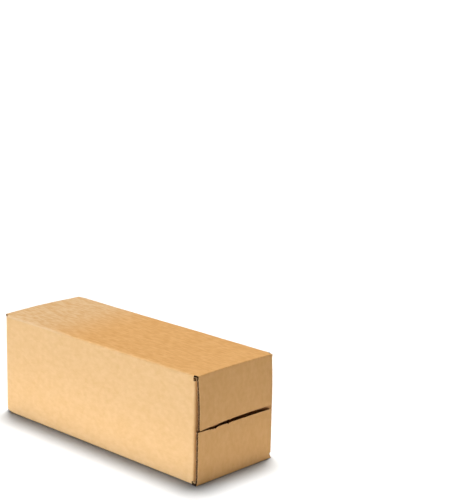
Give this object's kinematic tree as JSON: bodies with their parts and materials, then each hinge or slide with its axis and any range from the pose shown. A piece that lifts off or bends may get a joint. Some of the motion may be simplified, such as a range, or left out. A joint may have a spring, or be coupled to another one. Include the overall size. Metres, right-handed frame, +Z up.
{
  "type": "long cardboard box",
  "caption": "Long folding carton of single-wall corrugated board with hinged outer flaps at each end.",
  "frame": {"origin": "middle of the underside, with every flap shut", "axes": "+X along the length towards the near end of the picture, +Y from the front panel to the back panel, +Z up"},
  "size_m": [0.4, 0.148, 0.148],
  "materials": {
    "kraft_board": "matt brown kraft liner"
  },
  "bodies": {
    "sleeve": {"sleeve": "kraft_board"},
    "near_upper_flap": {"near_upper_flap": "kraft_board"},
    "near_lower_flap": {"near_lower_flap": "kraft_board"},
    "far_upper_flap": {"far_upper_flap": "kraft_board"},
    "far_lower_flap": {"far_lower_flap": "kraft_board"}
  },
  "joints": [
    {"name": "near_upper_crease", "type": "hinge", "parent": "sleeve", "child": "near_upper_flap", "pos_m": [0.1988, 0, 0.1468], "axis": [0, -1, 0], "range_deg": [0, 180]},
    {"name": "near_lower_crease", "type": "hinge", "parent": "sleeve", "child": "near_lower_flap", "pos_m": [0.1988, 0, 0.0012], "axis": [0, 1, 0], "range_deg": [0, 90]},
    {"name": "far_upper_crease", "type": "hinge", "parent": "sleeve", "child": "far_upper_flap", "pos_m": [-0.1988, 0, 0.1468], "axis": [0, 1, 0], "range_deg": [0, 180]},
    {"name": "far_lower_crease", "type": "hinge", "parent": "sleeve", "child": "far_lower_flap", "pos_m": [-0.1988, 0, 0.0012], "axis": [0, -1, 0], "range_deg": [0, 90]}
  ]
}
